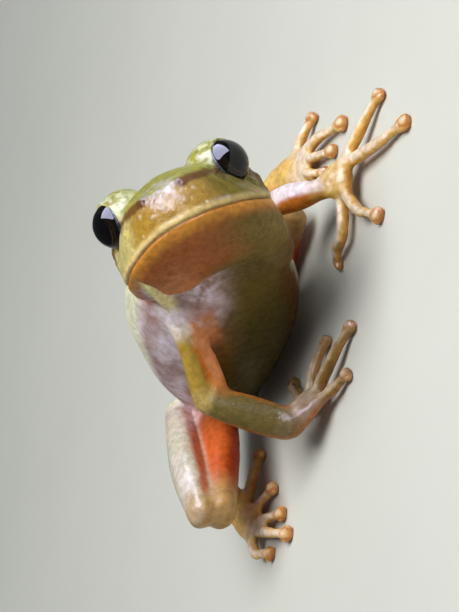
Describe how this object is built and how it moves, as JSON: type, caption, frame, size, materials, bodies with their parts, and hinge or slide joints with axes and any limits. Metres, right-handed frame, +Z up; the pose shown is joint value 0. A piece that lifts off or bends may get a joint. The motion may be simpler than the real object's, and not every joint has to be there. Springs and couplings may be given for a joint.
{
  "type": "tree frog",
  "caption": "Small green tree frog at life size, still, leaning over on spread toe pads with its head raised and turned, and one hind leg folded out in front.",
  "frame": {"origin": "on the floor under the middle of the bounding box", "axes": "+Z up from the floor that the pads rest on; the trunk's head end points to -Y; +X is the frog's back side, as it leans over on its left flank"},
  "size_m": [0.0272, 0.0268, 0.0162],
  "materials": {
    "skin_green": "moist skin, fine grained, satin",
    "skin_tan": "moist thin skin, satin to glossy",
    "skin_orange": "moist thin skin, satin to glossy",
    "eye_dark": "wet, mirror glossy"
  },
  "bodies": {
    "root": {"head": "skin_green", "trunk": "skin_green", "eye_left": "eye_dark", "eye_right": "eye_dark", "upper_arm_right": "skin_tan", "forearm_right": "skin_tan", "hand_right": "skin_tan", "finger_right_1": "skin_tan", "finger_right_2": "skin_tan", "finger_right_3": "skin_tan", "finger_right_4": "skin_tan", "thigh_right": "skin_orange", "shank_right": "skin_orange", "tarsus_right": "skin_orange", "foot_right": "skin_orange", "toe_right_1": "skin_orange", "toe_right_2": "skin_orange", "toe_right_3": "skin_orange", "toe_right_4": "skin_orange", "toe_right_5": "skin_orange", "upper_arm_left": "skin_tan", "forearm_left": "skin_tan", "hand_left": "skin_tan", "finger_left_1": "skin_tan", "finger_left_2": "skin_tan", "finger_left_3": "skin_tan", "finger_left_4": "skin_tan", "thigh_left": "skin_orange", "shank_left": "skin_orange", "tarsus_left": "skin_orange", "foot_left": "skin_orange", "toe_left_1": "skin_orange", "toe_left_2": "skin_orange", "toe_left_3": "skin_orange", "toe_left_4": "skin_orange", "toe_left_5": "skin_orange"}
  },
  "joints": []
}
